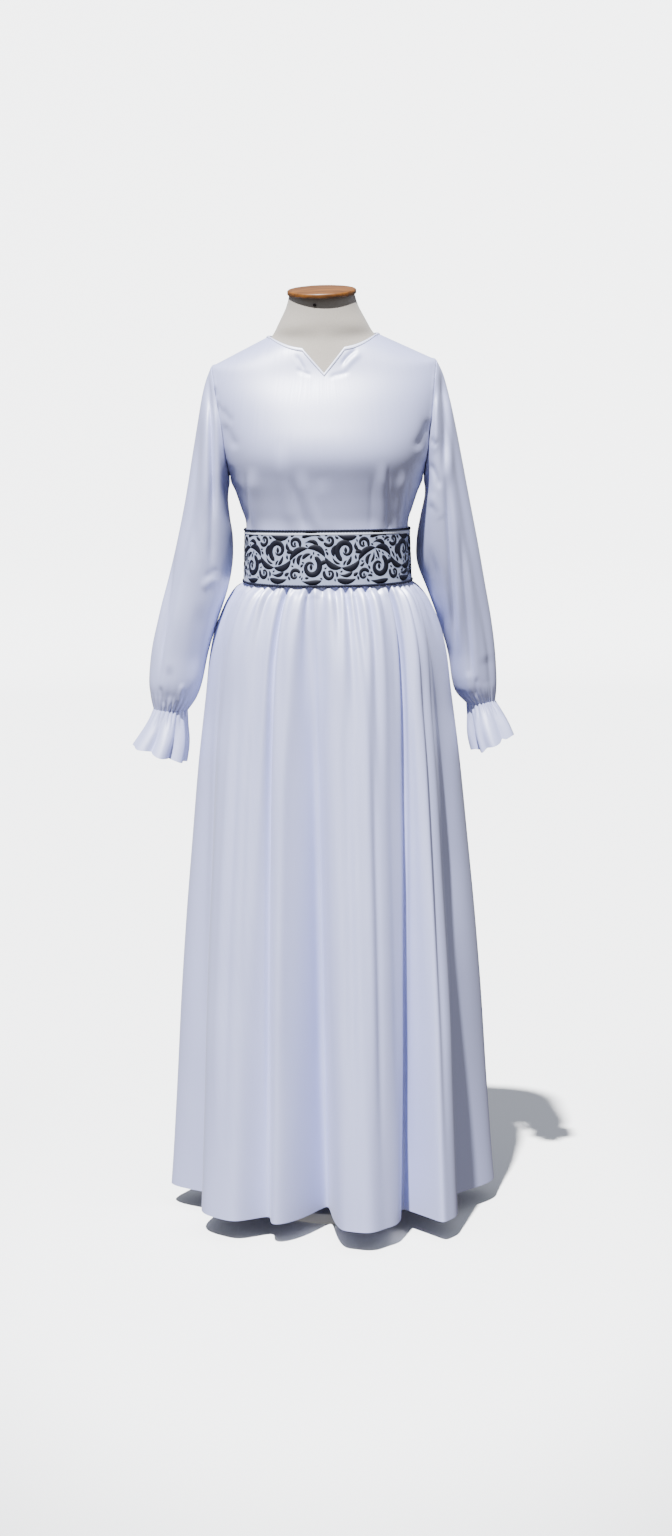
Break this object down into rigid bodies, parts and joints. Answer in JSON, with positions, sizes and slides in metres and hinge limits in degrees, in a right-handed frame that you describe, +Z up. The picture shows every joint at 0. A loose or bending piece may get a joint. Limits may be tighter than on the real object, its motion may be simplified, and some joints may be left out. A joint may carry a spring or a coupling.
{
  "type": "maxi dress on dress form",
  "caption": "Long-sleeved maxi dress with a gathered floor-length skirt and a wide patterned belt, standing on a limbless dress form",
  "frame": {"origin": "the centre of the base plate's underside, on the floor", "axes": "+Z is up, -Y is the front of the dress, +X is to the right of someone who looks at its front"},
  "size_m": [0.6423, 0.504, 1.5439],
  "materials": {
    "satin": "silver-lavender satin, soft gloss",
    "binding_satin": "pale satin bias strip",
    "belt_brocade": "silver-white band with near-black navy scrolls",
    "navy_piping": "dark navy cord edging",
    "form_jersey": "linen-coloured jersey over a padded form",
    "turned_wood": "varnished turned wood",
    "dark_screw": "darkened steel",
    "brushed_steel": "brushed steel tube",
    "painted_steel": "light grey powder coat"
  },
  "bodies": {
    "root": {"bodice_front": "satin", "bodice_back": "satin", "neck_binding": "binding_satin", "sleeve_left": "satin", "sleeve_right": "satin", "cuff_frill_left": "satin", "cuff_frill_right": "satin", "skirt_front": "satin", "skirt_back": "satin", "belt_band": "belt_brocade", "belt_top_trim": "navy_piping", "belt_bottom_trim": "navy_piping", "form_torso": "form_jersey", "form_neck_cap": "turned_wood", "form_neck_screw": "dark_screw", "form_pole": "brushed_steel", "form_base": "painted_steel"}
  },
  "joints": []
}
